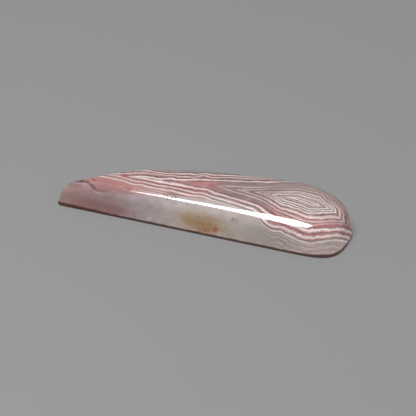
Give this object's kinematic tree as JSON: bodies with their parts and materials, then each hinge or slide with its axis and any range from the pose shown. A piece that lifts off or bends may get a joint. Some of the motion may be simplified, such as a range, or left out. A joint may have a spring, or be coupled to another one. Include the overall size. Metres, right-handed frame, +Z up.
{
  "type": "botswana agate cabochon",
  "caption": "Long polished agate cabochon with one straight edge, a rounded nose, a blunt tip, a low domed face and a flat back.",
  "frame": {"origin": "on the flat back's plane, under the middle of the stone's box", "axes": "+X along the straight edge from the tip towards the wide round nose, the straight edge faces -Y, +Z up out of the domed face"},
  "size_m": [0.06, 0.0198, 0.0072],
  "materials": {
    "agate": "high polish"
  },
  "bodies": {
    "root": {"cabochon": "agate"}
  },
  "joints": []
}
